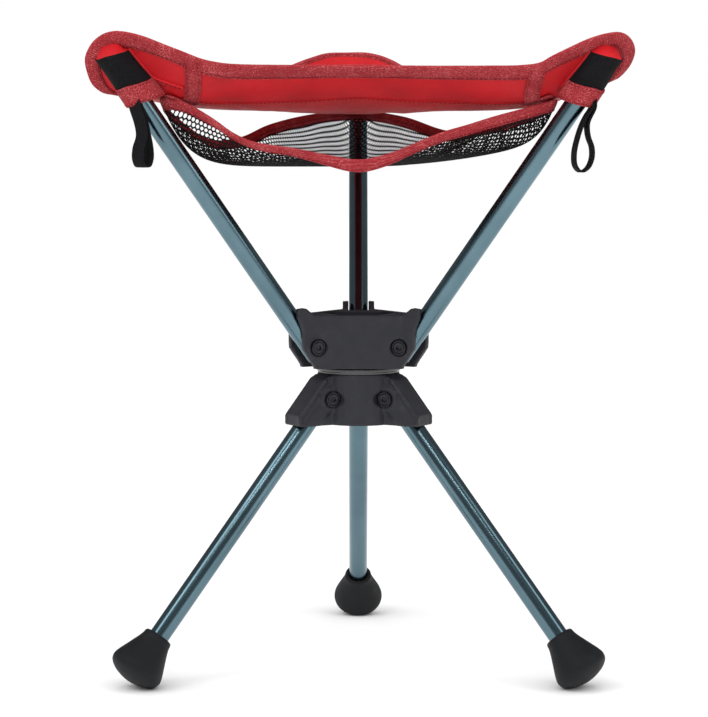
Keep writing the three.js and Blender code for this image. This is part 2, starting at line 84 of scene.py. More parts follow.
class Corner:
    """One of the three corners: its arm's and leg's frames, and how the cloth hangs there.

    near is the side, +1 or -1 along the arm's Y, that faces the front of the stool. twist turns the corner
    flap about its arm, in degrees. widths are how much wider the pocket's mouth is than its end, on the far
    side and on the near one. loop_turn is the azimuth the pull loop spreads along, and loop_across how far
    across the pocket's mouth it is sewn.
    """

    def __init__(self, name, near, twist, widths, loop_turn, loop_across):
        self.name = name
        self.near = near
        self.widths = widths
        self.loop_turn = math.radians(loop_turn)
        self.loop_across = loop_across
        self.arm = corner_frame("arm_fold_" + name, False)
        self.leg = corner_frame("leg_fold_" + name, True)
        self.flap = self.arm @ Matrix.Rotation(math.radians(twist), 4, "Z")
        self.azimuth = math.atan2(self.arm.translation.y, self.arm.translation.x)
        self.out = Vector((math.cos(self.azimuth), math.sin(self.azimuth), 0))

    def on_flap(self, along, across, proud=0.0):
        """A point along and across the arm in the flap's plane, or proud of it on the arm's side."""
        return self.flap @ Vector((proud - FLAP_PLANE, across, along))


TUBE_R = 7.25
CAP_R = 8.0
FLAP_PLANE = CAP_R + 0.9  # from the arm's axis to the middle of the cloth behind it

CORNERS = [
    Corner("front_right", -1, -32, (4, 1), 12, 8),
    Corner("rear", 1, 4, (1, 1), 90, 0),
    Corner("front_left", 1, 40, (0, 5), 55, -1),
]


# ---------------------------------------------------------------- meshes
def new_object(name, mesh):
    made = bpy.data.objects.new(name, mesh)
    bpy.context.scene.collection.objects.link(made)
    return made


@contextlib.contextmanager
def edited(mesh):
    """The mesh as a bmesh to work on, written back at the end."""
    bm = bmesh.new()
    bm.from_mesh(mesh)
    yield bm
    bm.to_mesh(mesh)
    bm.free()


def shade_smooth(piece):
    for polygon in piece.data.polygons:
        polygon.use_smooth = True
    return piece


def mesh_object(name, points, faces):
    """A smooth mesh object from points in the axis frame, in millimetres."""
    mesh = bpy.data.meshes.new(name)
    mesh.from_pydata([Vector(p) * MM + AXIS for p in points], [], faces)
    mesh.update()
    with edited(mesh) as bm:
        bmesh.ops.recalc_face_normals(bm, faces=bm.faces)
    return shade_smooth(new_object(name, mesh))


def turned(name, profile, matrix, segments=64):
    """A closed profile of (radius, height) turned about the Z of matrix. A radius of 0 is on the axis."""
    points, faces, rings = [], [], []
    for radius, height in profile:
        count = 1 if radius == 0 else segments
        rings.append([len(points) + k for k in range(count)])
        for k in range(count):
            angle = 2 * math.pi * k / segments
            points.append(matrix @ Vector((radius * math.cos(angle), radius * math.sin(angle), height)))
    closed = profile[0][0] > 0 and profile[-1][0] > 0
    pairs = list(zip(rings, rings[1:])) + ([(rings[-1], rings[0])] if closed else [])
    for low, high in pairs:
        for k in range(segments):
            after = k + 1
            quad = [low[k % len(low)], low[after % len(low)], high[after % len(high)], high[k % len(high)]]
            quad = [v for i, v in enumerate(quad) if v != quad[i - 1]]
            if len(quad) > 2:
                faces.append(quad)
    return mesh_object(name, points, faces)


def swept(name, rings, closed):
    """A closed skin over rings of points, each ring a section; the ends of an open sweep are capped."""
    sides = len(rings[0])
    points = [p for ring in rings for p in ring]
    faces = []
    steps = len(rings)
    for i in range(steps if closed else steps - 1):
        for k in range(sides):
            a, b = i * sides + k, i * sides + (k + 1) % sides
            c = (i + 1) % steps * sides
            faces.append([a, b, c + (k + 1) % sides, c + k])
    if not closed:
        faces.append(list(range(sides)))
        faces.append([(steps - 1) * sides + k for k in reversed(range(sides))])
    return mesh_object(name, points, faces)


def shade_by_angle(piece, degrees=35):
    """Keeps edges sharper than this angle sharp, and shades the rest smooth."""
    shade_smooth(piece)
    limit = math.radians(degrees)
    with edited(piece.data) as bm:
        for edge in bm.edges:
            edge.smooth = len(edge.link_faces) == 2 and edge.calc_face_angle(0) < limit
    return piece


def with_modifier(piece, kind, **settings):
    """Adds a modifier and applies it."""
    modifier = piece.modifiers.new(kind.lower(), kind)
    for key, value in settings.items():
        setattr(modifier, key, value)
    graph = bpy.context.evaluated_depsgraph_get()
    made = bpy.data.meshes.new_from_object(piece.evaluated_get(graph))
    piece.modifiers.clear()
    piece.data = made
    return piece


def rounded(profile, radius, steps=4):
    """The profile with each corner that isn't on the axis cut to an arc of about that radius."""
    made = []
    count = len(profile)
    for i, (r, z) in enumerate(profile):
        here = Vector((r, z))
        if r == 0:
            made.append((r, z))
            continue
        back = Vector(profile[i - 1]) - here
        ahead = Vector(profile[(i + 1) % count]) - here
        reach = min(radius, back.length / 2.2, ahead.length / 2.2)
        start, end = here + back.normalized() * reach, here + ahead.normalized() * reach
        for step in range(steps + 1):
            t = step / steps
            p = start * (1 - t) ** 2 + here * 2 * t * (1 - t) + end * t**2
            made.append((max(p.x, 0.001), p.y))
    return made


def arc_lengths(points):
    return np.concatenate([[0], np.cumsum(np.linalg.norm(np.diff(points, axis=0), axis=1))])


def at_length(points, lengths, wanted):
    """The point, or the points, at the wanted distances along a line of points."""
    axes = range(points.shape[1])
    return np.stack([np.interp(wanted, lengths, points[:, i]) for i in axes], axis=-1)


def curve_through(points, count, closed=False):
    """count points evenly spaced along a smooth curve through the given ones (centripetal Catmull-Rom)."""
    given = [np.array(p, float) for p in points]
    if closed:
        given = [given[-1], *given, given[0], given[1]]
    else:
        given = [2 * given[0] - given[1], *given, 2 * given[-1] - given[-2]]
    dense = []
    for p0, p1, p2, p3 in zip(given, given[1:], given[2:], given[3:]):
        t0 = 0.0
        t1 = t0 + max(np.linalg.norm(p1 - p0), 1e-6) ** 0.5
        t2 = t1 + max(np.linalg.norm(p2 - p1), 1e-6) ** 0.5
        t3 = t2 + max(np.linalg.norm(p3 - p2), 1e-6) ** 0.5
        for t in np.linspace(t1, t2, 24, endpoint=False):
            a1 = (t1 - t) / (t1 - t0) * p0 + (t - t0) / (t1 - t0) * p1
            a2 = (t2 - t) / (t2 - t1) * p1 + (t - t1) / (t2 - t1) * p2
            a3 = (t3 - t) / (t3 - t2) * p2 + (t - t2) / (t3 - t2) * p3
            b1 = (t2 - t) / (t2 - t0) * a1 + (t - t0) / (t2 - t0) * a2
            b2 = (t3 - t) / (t3 - t1) * a2 + (t - t1) / (t3 - t1) * a3
            dense.append((t2 - t) / (t2 - t1) * b1 + (t - t1) / (t2 - t1) * b2)
    dense.append(given[-2])
    dense = np.array(dense)
    length = arc_lengths(dense)
    wanted = np.linspace(0, length[-1], count + 1 if closed else count)
    if closed:
        wanted = wanted[:-1]
    return at_length(dense, length, wanted)


# ---------------------------------------------------------------- camera, light and floor
CAMERA_AT = Vector((-3.4, -1676.8, 372.0))
CAMERA_DOWN = 4.95  # degrees
LENS = 114.15

camera_data = bpy.data.cameras.new("camera")
camera_data.lens = LENS
camera_data.sensor_width = 36
camera_data.clip_end = 100
camera = new_object("camera", camera_data)
camera.location = CAMERA_AT * MM + AXIS
camera.rotation_euler = (math.radians(90 - CAMERA_DOWN), 0, 0)
bpy.context.scene.camera = camera
bpy.context.scene.view_settings.view_transform = "Standard"


def area_light(name, place, aim, size, power):
    data = bpy.data.lights.new(name, "AREA")
    data.shape = "RECTANGLE"
    data.size, data.size_y = size
    data.energy = power
    made = new_object(name, data)
    made.location = place
    made.rotation_euler = (Vector(aim) - Vector(place)).to_track_quat("-Z", "Y").to_euler()


def sun_light(name, towards, spread, power):
    """Light from far away: as bright on the floor far off as under the stool, and with no highlight."""
    data = bpy.data.lights.new(name, "SUN")
    data.angle = math.radians(spread)
    data.energy = power
    made = new_object(name, data)
    made.rotation_euler = Vector(towards).to_track_quat("-Z", "Y").to_euler()
    made.visible_glossy = False


STOOL_MIDDLE = (0, 0, 0.3)
area_light("key", (-1.3, -1.1, 1.7), STOOL_MIDDLE, (0.7, 1.1), 8)
area_light("fill", (1.6, -0.9, 1.2), STOOL_MIDDLE, (0.6, 1.4), 6)
area_light("strip", (-0.1, -1.9, 1.9), STOOL_MIDDLE, (1.6, 0.12), 7)
sun_light("overhead", (0.1, 0.35, -1), 120, 3.5)


# ---------------------------------------------------------------- materials
class Look:
    """A material that is being built: its shader, and its nodes by short calls."""

    def __init__(self, name, **sockets):
        self.material = bpy.data.materials.new(name)
        self.material.use_nodes = True
        self.tree = self.material.node_tree
        self.shader = self.tree.nodes["Principled BSDF"]
        for socket, value in sockets.items():
            self.shader.inputs[socket.replace("_", " ")].default_value = value
        self.place = self.node("TexCoord").outputs["Object"]

    def node(self, kind, inputs=None, **settings):
        made = self.tree.nodes.new("ShaderNode" + kind)
        for key, value in settings.items():
            setattr(made, key, value)
        for socket, value in (inputs or {}).items():
            if isinstance(value, bpy.types.NodeSocket):
                self.tree.links.new(value, made.inputs[socket])
            else:
                made.inputs[socket].default_value = value
        return made

    def noise(self, size, detail=3, place=None):
        """Noise whose features are about size millimetres."""
        values = {"Vector": place or self.place, "Scale": 1 / (size * MM), "Detail": detail}
        values["Roughness"] = 0.55
        return self.node("TexNoise", values).outputs["Fac"]

    def ramp(self, value, stops):
        """Colours at places of a 0 to 1 value."""
        node = self.node("ValToRGB", {"Fac": value})
        elements = node.color_ramp.elements
        while len(elements) < len(stops):
            elements.new(0.5)
        for element, (place, colour) in zip(elements, stops):
            element.position = place
            element.color = (*colour, 1)
        return node.outputs["Color"]

    def span(self, value, low, high, dark, light):
        """The value from dark..light made into low..high."""
        values = {"Value": value, "From Min": dark, "From Max": light, "To Min": low, "To Max": high}
        return self.node("MapRange", values).outputs["Result"]

    def stretched(self, scale):
        return self.node("Mapping", {"Vector": self.place, "Scale": scale}).outputs["Vector"]

    def mixed(self, a, b, share):
        """Value a and value b added, b at a share."""
        return self.node("Math", {0: b, 1: share, 2: a}, operation="MULTIPLY_ADD").outputs["Value"]

    def colour(self, socket):
        self.tree.links.new(socket, self.shader.inputs["Base Color"])

    def roughness(self, socket):
        self.tree.links.new(socket, self.shader.inputs["Roughness"])

    def bump(self, height, depth, strength=1.0):
        """Raises the surface by up to depth millimetres, where height is 1."""
        node = self.node("Bump", {"Height": height, "Strength": strength, "Distance": depth * MM})
        self.tree.links.new(node.outputs["Normal"], self.shader.inputs["Normal"])

    def weave(self, thread):
        """Threads over and under each other along the three axes, 0 to 1."""
        bands = []
        for direction in ("X", "Y", "Z"):
            values = {"Vector": self.place, "Scale": 1 / (thread * MM) / 3.2}
            values.update({"Distortion": 0.6, "Detail": 1.0})
            wave = self.node("TexWave", values, bands_direction=direction)
            bands.append(wave.outputs["Fac"])
        both = self.node("Math", {0: bands[0], 1: bands[1]}, operation="MULTIPLY").outputs["Value"]
        return self.mixed(both, bands[2], 0.5)


def scaled(colour, by):
    return tuple(channel * by for channel in colour)


def anodised():
    """Satin blue-grey aluminium."""
    look = Look("anodised", Metallic=1.0)
    grain = look.noise(0.35, 2)
    blotches = look.noise(45, 3)
    base = (0.115, 0.19, 0.225)
    tone = look.mixed(blotches, grain, 0.12)
    look.colour(look.ramp(tone, [(0.4, scaled(base, 0.88)), (0.75, scaled(base, 1.12))]))
    look.roughness(look.span(grain, 0.19, 0.24, 0.3, 0.7))
    look.bump(grain, 0.004, 0.2)
    return look.material


def plastic(name, base, grain=0.35, rough=(0.42, 0.6), gloss=0.35):
    """Moulded plastic or rubber, a little lighter along its sharp edges, a painted edge highlight."""
    look = Look(name, Specular_IOR_Level=gloss)
    fine = look.noise(grain, 2)
    wide = look.noise(9, 4)
    # painted highlight: the colour is lightened where the surface is sharply convex, along edges and rims
    edges = look.node("NewGeometry").outputs["Pointiness"]
    painted_edge_highlight = look.span(edges, 0, 1, 0.53, 0.62)
    tone = look.mixed(look.mixed(wide, fine, 0.4), painted_edge_highlight, 0.25)
    stops = [(0.35, scaled(base, 0.8)), (0.8, scaled(base, 1.2)), (1.0, scaled(base, 1.9))]
    look.colour(look.ramp(tone, stops))
    look.roughness(look.span(look.mixed(wide, fine, 0.6), rough[0], rough[1], 0.5, 1.1))
    look.bump(fine, 0.06, 0.35)
    return look.material


def metal(name, base, rough):
    look = Look(name, Metallic=1.0)
    scratches = look.noise(0.3, 4, look.stretched((1, 0.2, 1)))
    look.colour(look.ramp(scratches, [(0.3, scaled(base, 0.75)), (0.75, scaled(base, 1.15))]))
    look.roughness(look.span(scratches, rough - 0.08, rough + 0.08, 0.3, 0.7))
    look.bump(scratches, 0.02, 0.3)
    return look.material


def coated_cloth():
    """The sling's cloth: a fine plain weave with a light coating."""
    look = Look("coated_red", Specular_IOR_Level=0.2)
    weave = look.weave(0.55)
    slubs = look.noise(1.3, 3, look.stretched((0.25, 1, 1)))
    wide = look.noise(35, 3)
    tone = look.mixed(look.mixed(wide, slubs, 0.35), weave, 0.12)
    base = (0.47, 0.009, 0.014)
    look.colour(look.ramp(tone, [(0.45, scaled(base, 0.8)), (0.95, scaled(base, 1.2))]))
    look.roughness(look.span(slubs, 0.42, 0.6, 0.3, 0.7))
    look.bump(look.mixed(weave, slubs, 0.6), 0.09, 0.5)
    return look.material


def woven(name, dark, light, thread, depth=0.25):
    """A coarse woven tape, its threads spun from two tones."""
    look = Look(name, Specular_IOR_Level=0.12, Roughness=0.85)
    weave = look.weave(thread)
    fleck = look.noise(thread * 1.1, 2)
    wide = look.noise(14, 2)
    sum_of_all = look.mixed(look.mixed(fleck, weave, 0.2), wide, 0.3)
    tone = look.span(sum_of_all, 0, 1, 0.55, 1.1)
    look.colour(look.ramp(tone, [(0.2, scaled(dark, 0.75)), (0.5, scaled(dark, 1.1)), (0.85, light)]))
    look.bump(look.mixed(weave, fleck, 0.8), depth, 0.8)
    return look.material


ANODISED = anodised()
HUB_PLASTIC = plastic("hub_plastic", (0.014, 0.0142, 0.0185))
CAP_PLASTIC = plastic("cap_plastic", (0.009, 0.009, 0.01))
NECK_PLASTIC = plastic("neck_plastic", (0.014, 0.014, 0.017), 0.5, (0.16, 0.24), 0.9)
RUBBER = plastic("foot_rubber", (0.006, 0.0065, 0.0075), 0.8, (0.5, 0.72), 0.25)
NYLON = plastic("nylon", (0.03, 0.03, 0.034), 0.6, (0.3, 0.45))
STEEL = metal("zinc_steel", (0.5, 0.51, 0.53), 0.35)
BLACK_STEEL = metal("black_steel", (0.05, 0.05, 0.058), 0.42)
RED_CLOTH = coated_cloth()
TAPE = woven("binding_tape", (0.36, 0.03, 0.038), (0.7, 0.21, 0.21), 0.7, 0.35)
THREAD = woven("stitch_thread", (0.24, 0.014, 0.02), (0.4, 0.05, 0.055), 0.2)
BLACK_CLOTH = woven("black_cloth", (0.006, 0.006, 0.007), (0.018, 0.018, 0.02), 0.5, 0.12)
NETTING = woven("netting", (0.006, 0.006, 0.007), (0.02, 0.02, 0.022), 0.3, 0.08)

floor_look = Look("floor", Roughness=0.9)
FLOOR_TONES = [(0.3, (0.86, 0.86, 0.86)), (0.7, (0.88, 0.88, 0.88))]
floor_look.colour(floor_look.ramp(floor_look.noise(300, 2), FLOOR_TONES))
FLOOR_HALF = 14000
floor_corners = [(x, y, 0) for x, y in ((-1, -1), (1, -1), (1, 1), (-1, 1))]
floor = mesh_object("floor", [Vector(c) * FLOOR_HALF for c in floor_corners], [[0, 1, 2, 3]])
floor.location.z = -0.0005
floor.data.materials.append(floor_look.material)

world = bpy.data.worlds.new("studio")
bpy.context.scene.world = world
world.use_nodes = True
sky = world.node_tree.nodes["Background"]
sky.inputs["Color"].default_value = (1, 1, 1, 1)
seen = world.node_tree.nodes.new("ShaderNodeLightPath").outputs["Is Camera Ray"]
brightness = world.node_tree.nodes.new("ShaderNodeMapRange")
brightness.inputs["To Min"].default_value = 0.22  # what lights the stool
brightness.inputs["To Max"].default_value = 1.0  # what stands behind it
world.node_tree.links.new(seen, brightness.inputs["Value"])
world.node_tree.links.new(brightness.outputs["Result"], sky.inputs["Strength"])


# ---------------------------------------------------------------- how pieces are finished
def fitted(piece, material, body, slot, *nodes):
    """Gives a finished piece its material and its body, and hides the CAD nodes that it stands for; slot is
    not used.
    """
    piece.data.materials.clear()
    piece.data.materials.append(material)
    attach(piece, body)
    if nodes:
        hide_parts(*nodes)
    return piece


def paint(node, material):
    """A carried-over CAD node keeps its shape and gets a material."""
    data = bpy.data.objects[node].data
    data.materials.clear()
    data.materials.append(material)


def cut_by(piece, cutter):
    """Takes the cutter's solid out of the piece, and removes the cutter."""
    with_modifier(piece, "BOOLEAN", operation="DIFFERENCE", object=cutter, solver="EXACT")
    bpy.data.objects.remove(cutter)
    return piece


# ---------------------------------------------------------------- tubes, feet, caps and bolts
TUBE_WALL = 1.0
GAP = 0.3
PIN_R = 3.0
ARM_STUB = LEG_STUB = 9.0
ARM_LENGTH = 260.0
FOOT_TOP = 211.5
FOOT_DEPTH = 23.0
# [distance down from the foot's collar, radius]
FOOT_PROFILE = [
    (0, 8.0), (0.2, 9.3), (0.6, 10.1), (1.4, 10.6), (4, 11), (7.5, 12.1), (11, 13.5), (14.5, 14.95),
    (18, 16.4), (21, 17.7), (24, 18.8), (26.3, 19.45), (28.2, 19.55), (30, 19.2), (31.5, 18.5),
    (33, 17.2), (34.5, 15.2), (36, 12.4), (37.4, 8), (38.2, 4), (38.5, 0),
]


def drilled_tube(name, frame_matrix, start, end):
    """A tube along its frame's Z, with the pivot's cross hole."""
    outer, inner = TUBE_R, TUBE_R - TUBE_WALL
    profile = rounded([(inner, start), (outer, start), (outer, end), (inner, end)], 0.35)
    made = turned(name, profile, frame_matrix)
    lying = frame_matrix @ Matrix.Rotation(math.radians(90), 4, "X")
    half = TUBE_R + 2
    drill = turned("drill", [(0, -half), (PIN_R + GAP, -half), (PIN_R + GAP, half), (0, half)], lying, 32)
    return shade_by_angle(cut_by(made, drill))


def leg_pieces(corner):
    tube = drilled_tube("leg_tube_fine_" + corner.name, corner.leg, -LEG_STUB, FOOT_TOP + FOOT_DEPTH)
    fitted(tube, ANODISED, "leg_" + corner.name, "frame", "leg_tube_" + corner.name)

    bore = TUBE_R + GAP
    end = FOOT_TOP + FOOT_DEPTH + GAP
    profile = [(0, end), (bore, end), (bore, FOOT_TOP + 0.4)]
    smooth = curve_through([(r, FOOT_TOP + down) for down, r in FOOT_PROFILE], 56)
    profile += [(max(r, 0), z) for r, z in smooth[:-1]] + [(0, FOOT_TOP + FOOT_PROFILE[-1][0])]
    foot = turned("foot_fine_" + corner.name, profile, corner.leg, 72)
    floor_plane = {"plane_co": (0, 0, 0), "plane_no": (0, 0, -1)}
    with edited(foot.data) as bm:
        everything = bm.verts[:] + bm.edges[:] + bm.faces[:]
        cut = bmesh.ops.bisect_plane(bm, geom=everything, clear_outer=True, **floor_plane)
        rim = [e for e in cut["geom_cut"] if isinstance(e, bmesh.types.BMEdge)]
        bmesh.ops.contextual_create(bm, geom=rim)
    limit = math.radians(30)
    with_modifier(foot, "BEVEL", width=0.9 * MM, segments=3, limit_method="ANGLE", angle_limit=limit)
    shade_by_angle(foot, 50)
    fitted(foot, RUBBER, "leg_" + corner.name, "foot_rubber", "foot_" + corner.name)


def arm_pieces(corner):
    tube = drilled_tube("arm_tube_fine_" + corner.name, corner.arm, -ARM_STUB, ARM_LENGTH - 3 - GAP)
    fitted(tube, ANODISED, "arm_" + corner.name, "frame", "arm_tube_" + corner.name)

    skirt, roof, bore = ARM_LENGTH - 20, ARM_LENGTH - 3, TUBE_R + GAP
    profile = [(0, roof), (bore, roof), (bore, skirt), (CAP_R, skirt), (CAP_R, ARM_LENGTH), (0, ARM_LENGTH)]
    edges = rounded(profile[1:5], 1.6)
    cap = turned("arm_cap_fine_" + corner.name, [profile[0], *edges[5:], profile[5]], corner.arm)
    shade_by_angle(cap, 40)
    fitted(cap, CAP_PLASTIC, "arm_" + corner.name, "plastic", "arm_cap_" + corner.name)


LUG_HALF = 12.0
HEAD_R = 5.6
HEAD = 2.4
HEAD_SEAT = LUG_HALF + GAP / 2
SOCKET_R = 2.1
SOCKET_DEPTH = 1.5


def bolt_end(name, pin_matrix, side, shank_r, shank_end):
    """A round bolt head on one side of a pivot, with its shank and a hexagon socket."""
    lying = pin_matrix @ Matrix.Rotation(math.radians(-90 * side), 4, "X")
    top = HEAD_SEAT + HEAD
    floor_z = top - SOCKET_DEPTH
    outline = [(shank_r, shank_end), (shank_r, HEAD_SEAT), (HEAD_R, HEAD_SEAT), (HEAD_R, top), (4.4, top)]
    ring = [(4.1, top - 0.3), (3.8, top), (SOCKET_R + 0.3, top), (SOCKET_R, top - 0.3), (SOCKET_R, floor_z)]
    profile = [(0, shank_end), *rounded(outline, 0.5)[5:], *ring, (0, floor_z - 0.4)]
    made = turned(name, profile, lying, 48)
    inverse = lying.inverted()
    for vertex in made.data.vertices:
        local = inverse @ ((vertex.co - AXIS) / MM)
        if local.z > floor_z - 0.1 and 0.1 < math.hypot(local.x, local.y) < SOCKET_R + 0.01:
            turn = math.degrees(math.atan2(local.y, local.x)) % 60 - 30
            flat = math.cos(math.radians(30)) / math.cos(math.radians(turn))
            local.x, local.y = local.x * flat, local.y * flat
            vertex.co = lying @ local * MM + AXIS
    return shade_by_angle(made, 30)


def bolt(kind, body, corner, pin_matrix):
    screw = bolt_end(f"{kind}_screw_fine_{corner.name}", pin_matrix, 1, 1.9, 1.0)
    fitted(screw, BLACK_STEEL, body, "black_steel", f"{kind}_screw_{corner.name}")
    nut = bolt_end(f"{kind}_nut_fine_{corner.name}", pin_matrix, -1, PIN_R, -0.5)
    fitted(nut, BLACK_STEEL, body, "black_steel", f"{kind}_barrel_nut_{corner.name}")


def upright_frame(matrix, azimuth):
    return Matrix.Translation(matrix.translation) @ Matrix.Rotation(azimuth, 4, "Z")


for corner in CORNERS:
    leg_pieces(corner)
    arm_pieces(corner)
    bolt("leg", "lower_hub", corner, upright_frame(corner.leg, corner.azimuth))
    bolt("arm", "upper_hub", corner, upright_frame(corner.arm, corner.azimuth))
    paint("leg_plug_" + corner.name, NYLON)
    paint("arm_plug_" + corner.name, NYLON)

for node in ("swivel_spindle", "thrust_washer", "lock_nut"):
    paint(node, STEEL)
paint("swivel_bush", NYLON)


# ---------------------------------------------------------------- hubs
MOULDING_VOXEL = 0.7
MOULDING_SMOOTHING = 5


def moulded(name, node, extras):
    """A CAD node's shape with extra closed solids melted onto it, its edges softened as in a moulding."""
    mesh = bpy.data.objects[node].data.copy()
    mesh.name = name
    made = new_object(name, mesh)
    with edited(mesh) as bm:
        for extra in extras:
            bm.from_mesh(extra.data)
            bpy.data.objects.remove(extra)
    with_modifier(made, "REMESH", mode="VOXEL", voxel_size=MOULDING_VOXEL * MM, use_smooth_shade=True)
    with_modifier(made, "SMOOTH", factor=0.5, iterations=MOULDING_SMOOTHING)
    return shade_smooth(made)


def prism(name, outline, matrix, low, high):
    """A closed solid: an (x, y) outline from low to high along the Z of matrix."""
    rings = [[matrix @ Vector((x, y, z)) for x, y in outline] for z in (low, high)]
    return swept(name, rings, False)


def cross_ring(matrix, side, inner, outer, low, high):
    """A raised ring round a bolt head, on one side of a slot."""
    lying = matrix @ Matrix.Rotation(math.radians(-90 * side), 4, "X")
    profile = [(inner, low), (outer, low), (outer, high), (inner, high)]
    return turned("ring", profile, lying, 40)


# A lug's ear, as (outwards, up) from the pin, and its layers: from, to and how much lower each is cut.
EAR_TOP = 29.3
EAR = [
    (10.2, 9.8), (15.5, 22.5), (15.6, 26.2), (13.8, 28.8), (10.5, EAR_TOP), (7, 27.6), (2, 24.2),
    (1, 20),
]
EAR_LAYERS = [(7.8, 9.4, 0), (9, 10.6, 1.2), (10.2, 11.6, 3), (11.2, 12.4, 6.5)]
# The rib down a lower lug, as (outwards, up) from the pin.
RIDGE = [(4.4, 15.4), (24.4, -9.8), (26.6, -12), (26.6, -18.6), (25, -18.6), (23.8, -13), (3.4, 12.9)]


def upper_hub_extras():
    extras = []
    for corner in CORNERS:
        pin = upright_frame(corner.arm, corner.azimuth)
        for side in (1, -1):
            extras.append(cross_ring(pin, side, HEAD_R + 0.7, HEAD_R + 2.2, LUG_HALF - 3, LUG_HALF + 0.7))
            lying = pin @ Matrix.Rotation(math.radians(90), 4, "X")
            for inner, outer, drop in EAR_LAYERS:
                ear = [(x, min(z, EAR_TOP - drop)) for x, z in EAR]
                z0, z1 = sorted((-side * outer, -side * inner))
                extras.append(prism("ear", ear, lying, z0, z1))
    return extras


def lower_hub_extras():
    extras = []
    for corner in CORNERS:
        pin = upright_frame(corner.leg, corner.azimuth)
        for side in (1, -1):
            extras.append(cross_ring(pin, side, HEAD_R + 0.7, HEAD_R + 2.2, LUG_HALF - 3, LUG_HALF + 0.5))
        lying = pin @ Matrix.Rotation(math.radians(90), 4, "X")
        for side in (1, -1):
            z0, z1 = sorted((side * (LUG_HALF - 4), side * (LUG_HALF - 0.4)))
            extras.append(prism("ridge", RIDGE, lying, z0, z1))
    return extras


upper_hub = moulded("upper_hub_fine", "upper_hub", upper_hub_extras())
fitted(upper_hub, HUB_PLASTIC, "upper_hub", "plastic", "upper_hub")
lower_hub = moulded("lower_hub_fine", "lower_hub", lower_hub_extras())
fitted(lower_hub, HUB_PLASTIC, "lower_hub", "plastic", "lower_hub")

plate_low, plate_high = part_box("swivel_plate")
plate_z = [plate_low.z / MM, plate_high.z / MM]
NECK_R = (plate_high.x - plate_low.x) / 2 / MM
plate_outline = [
    (5.3, plate_z[0]), (NECK_R - 0.6, plate_z[0]), (NECK_R - 0.6, plate_z[0] + 1.2),
    (NECK_R, plate_z[0] + 1.5), (NECK_R, plate_z[1]), (5.3, plate_z[1]),
]
plate = turned("swivel_plate_fine", rounded(plate_outline, 0.35), Matrix.Identity(4), 96)
fitted(shade_by_angle(plate), NECK_PLASTIC, "lower_hub", "nylon", "swivel_plate")


# ---------------------------------------------------------------- the sling
FABRIC = 0.9
SLING_BOTTOM = 408.4
TROUGH_POWER = 2.8
# The sling's cut edge, counter-clockwise from the middle of the front.
SLING_EDGE = [
    (0, -95, 437.5), (45, -97, 437), (85, -99, 437), (112, -102.5, 437.3), (124.6, -104, 439),
    (132.5, -106, 443.3), (144.3, -106, 449), (157.4, -104, 455), (169.8, -100, 458.9),
    (181, -94, 460.1), (187.7, -88, 456.5), (191.7, -80, 449.6), (190.4, -72, 441.7),
    (187.1, -66, 436), (182.5, -60, 431.5), (170, -42, 430), (152, -20, 430.5), (122, 18, 432),
    (95, 54, 433), (74, 86, 434), (58, 110, 437), (46, 135, 441.5), (37, 155, 446.5),
    (28, 172, 452.5), (17, 187, 457.5), (5, 196, 460), (-11, 200, 460), (-25, 193, 459.3),
    (-37, 180, 455.5), (-52.7, 160, 448.7), (-64, 130, 440.5), (-72, 105, 436.5), (-86, 77, 433.5),
    (-99, 50, 432), (-118, 21, 429.5), (-140, -10, 427), (-160, -42, 423.5), (-172, -63, 421),
    (-179.4, -74, 421), (-185.5, -78, 426), (-188.9, -81, 434.9), (-189.8, -84, 442.4),
    (-188, -87, 447.6), (-183.8, -90, 453.8), (-177, -93, 458.8), (-169, -96, 460.9),
    (-161, -99, 460.3), (-148, -103, 456.9), (-135, -105, 451.8), (-121, -104.8, 446.5),
    (-108, -103.6, 441.5), (-94, -101, 438.8), (-82, -99, 438), (-45, -97, 437.5),
]
HALF_STEPS = 84  # steps along each half of a side
DEPTH_STEPS = 44  # steps from a spine to the edge


def spine_of(corner):
    """The line where the sling lies over an arm, from the seat's middle to inside the corner's lobe."""
    reach = [(0, SLING_BOTTOM), (60, SLING_BOTTOM + 0.2), (110, SLING_BOTTOM + 1.2), (138, SLING_BOTTOM + 4)]
    middle = 0.25 * (corner.widths[1] - corner.widths[0]) * corner.near
    points = [corner.out * r + UP * z for r, z in reach]
    points += [corner.on_flap(along, middle) for along in (226, 241, 256)]
    return curve_through(points, HALF_STEPS + 1)


def sling_halves():
    """Six grids of points, from a spine to the edge, and for each whether it runs to its corner clockwise."""
    edge = curve_through(SLING_EDGE, 4000, closed=True)
    angles = np.degrees(np.arctan2(edge[:, 1], edge[:, 0]))
    middles = [int(np.argmin(abs(angles - angle))) for angle in (-90, 30, 150)]
    halves = []
    for k, corner in enumerate(CORNERS):
        spine = spine_of(corner)
        arm = np.array(corner.arm.to_3x3() @ UP)
        pin = np.array(corner.arm.translation)
        near = abs((angles - math.degrees(corner.azimuth) + 180) % 360 - 180) < 25
        tip = int(np.argmax(np.where(near, (edge - pin) @ arm, -1e9)))
        for start in (middles[k], middles[(k + 1) % 3]):
            step = 1 if start == middles[k] else -1
            count = (tip - start) * step % len(edge)
            run = edge[[(start + step * i) % len(edge) for i in range(count + 1)]]
            length = arc_lengths(run)
            wanted = np.linspace(0, length[-1], HALF_STEPS + 1)
            halves.append((lofted(spine, at_length(run, length, wanted)), step))
    return halves


def lofted(spine, rim):
    t = np.linspace(0, 1, DEPTH_STEPS + 1)
    w = np.linspace(0, 1, HALF_STEPS + 1)
    onto_flap = np.clip((w - 0.5) / 0.36, 0, 1)
    power = TROUGH_POWER + (1 - TROUGH_POWER) * onto_flap**2 * (3 - 2 * onto_flap)
    grid = spine[:, None, :] + (rim - spine)[:, None, :] * t[None, :, None]
    grid[:, :, 2] = spine[:, None, 2] + (rim[:, 2] - spine[:, 2])[:, None] * t[None, :] ** power[:, None]
    return grid


